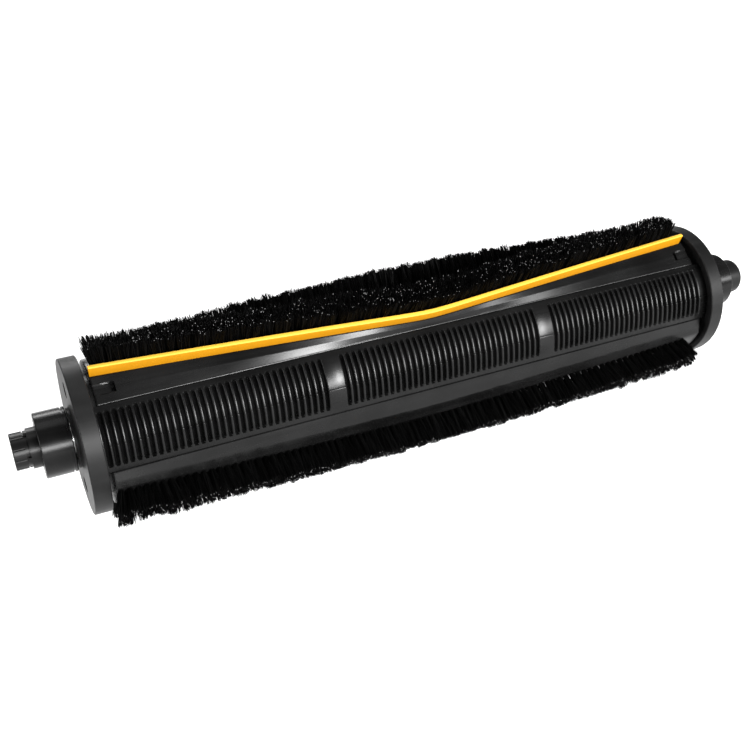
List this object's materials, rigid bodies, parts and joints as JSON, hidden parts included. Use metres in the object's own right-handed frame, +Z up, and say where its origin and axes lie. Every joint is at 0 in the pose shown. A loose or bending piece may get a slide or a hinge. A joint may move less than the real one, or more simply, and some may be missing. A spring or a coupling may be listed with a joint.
{
  "type": "floor scrubber roller brush",
  "caption": "Cylindrical roller brush of a wet and dry floor scrubber: slotted core, chevron bristle rows and yellow wiper lips between two round flanges, with a bearing block at each end.",
  "frame": {"origin": "on the roller axis, in the middle of the whole assembly", "axes": "+X along the axis from the drive end to the idler end, +Z up, -Y towards the front ribbed panel"},
  "size_m": [0.451, 0.0978, 0.103],
  "materials": {
    "core_black": "satin black moulded plastic with fine ribs",
    "carrier_black": "smooth black moulded plastic",
    "flange_grey": "dark grey moulded plastic, fine grain",
    "bristle_black": "black nylon filament, cut tips",
    "lip_yellow": "smooth orange-yellow rubber",
    "housing_black": "glossy black acetal",
    "dog_black": "satin black moulded plastic",
    "nose_black": "black moulded elastomer",
    "shaft_steel": "ground steel",
    "bearing_steel": "polished bearing steel",
    "screw_steel": "black oxide steel",
    "seal_rubber": "matte black rubber",
    "cage_plastic": "natural polyamide"
  },
  "bodies": {
    "roller": {"core_shell_upper": "core_black", "core_shell_lower": "core_black", "stiffening_discs": "core_black", "main_shaft": "shaft_steel", "plug_pins": "shaft_steel", "upper_carrier": "carrier_black", "upper_wiper_lip": "lip_yellow", "upper_leading_bristles": "bristle_black", "upper_trailing_bristles": "bristle_black", "lower_carrier": "carrier_black", "lower_wiper_lip": "lip_yellow", "lower_leading_bristles": "bristle_black", "lower_trailing_bristles": "bristle_black", "drive_flange": "flange_grey", "drive_flange_screws": "screw_steel", "drive_end_plug": "core_black", "drive_spacer": "shaft_steel", "drive_inner_race": "bearing_steel", "idler_flange": "flange_grey", "idler_flange_screws": "screw_steel", "idler_end_plug": "core_black", "idler_spacer": "shaft_steel", "idler_inner_race": "bearing_steel", "drive_dog": "dog_black", "drive_dog_screw": "screw_steel", "shaft_washer": "shaft_steel", "shaft_end_screw": "screw_steel"},
    "drive_housing": {"drive_bearing_housing": "housing_black", "drive_outer_race": "bearing_steel", "drive_seal": "seal_rubber", "drive_retaining_ring": "screw_steel"},
    "idler_housing": {"idler_bearing_housing": "housing_black", "idler_outer_race": "bearing_steel", "idler_seal": "seal_rubber", "idler_retaining_ring": "screw_steel", "idler_nose": "nose_black"},
    "drive_ball_cage": {"drive_balls": "bearing_steel", "drive_cage": "cage_plastic"},
    "idler_ball_cage": {"idler_balls": "bearing_steel", "idler_cage": "cage_plastic"}
  },
  "joints": [
    {"name": "drive_housing_spin", "type": "hinge", "parent": "roller", "child": "drive_housing", "pos_m": [-0.2053, 0, 0], "axis": [1, 0, 0], "continuous": true},
    {"name": "drive_cage_spin", "type": "hinge", "parent": "roller", "child": "drive_ball_cage", "pos_m": [-0.2053, 0, 0], "axis": [1, 0, 0], "continuous": true},
    {"name": "idler_housing_spin", "type": "hinge", "parent": "roller", "child": "idler_housing", "pos_m": [0.1923, 0, 0], "axis": [1, 0, 0], "continuous": true},
    {"name": "idler_cage_spin", "type": "hinge", "parent": "roller", "child": "idler_ball_cage", "pos_m": [0.1923, 0, 0], "axis": [1, 0, 0], "continuous": true}
  ],
  "couplings": [
    {"joint": "drive_cage_spin", "follows": "drive_housing_spin", "ratio": 0.6},
    {"joint": "idler_cage_spin", "follows": "idler_housing_spin", "ratio": 0.6}
  ]
}
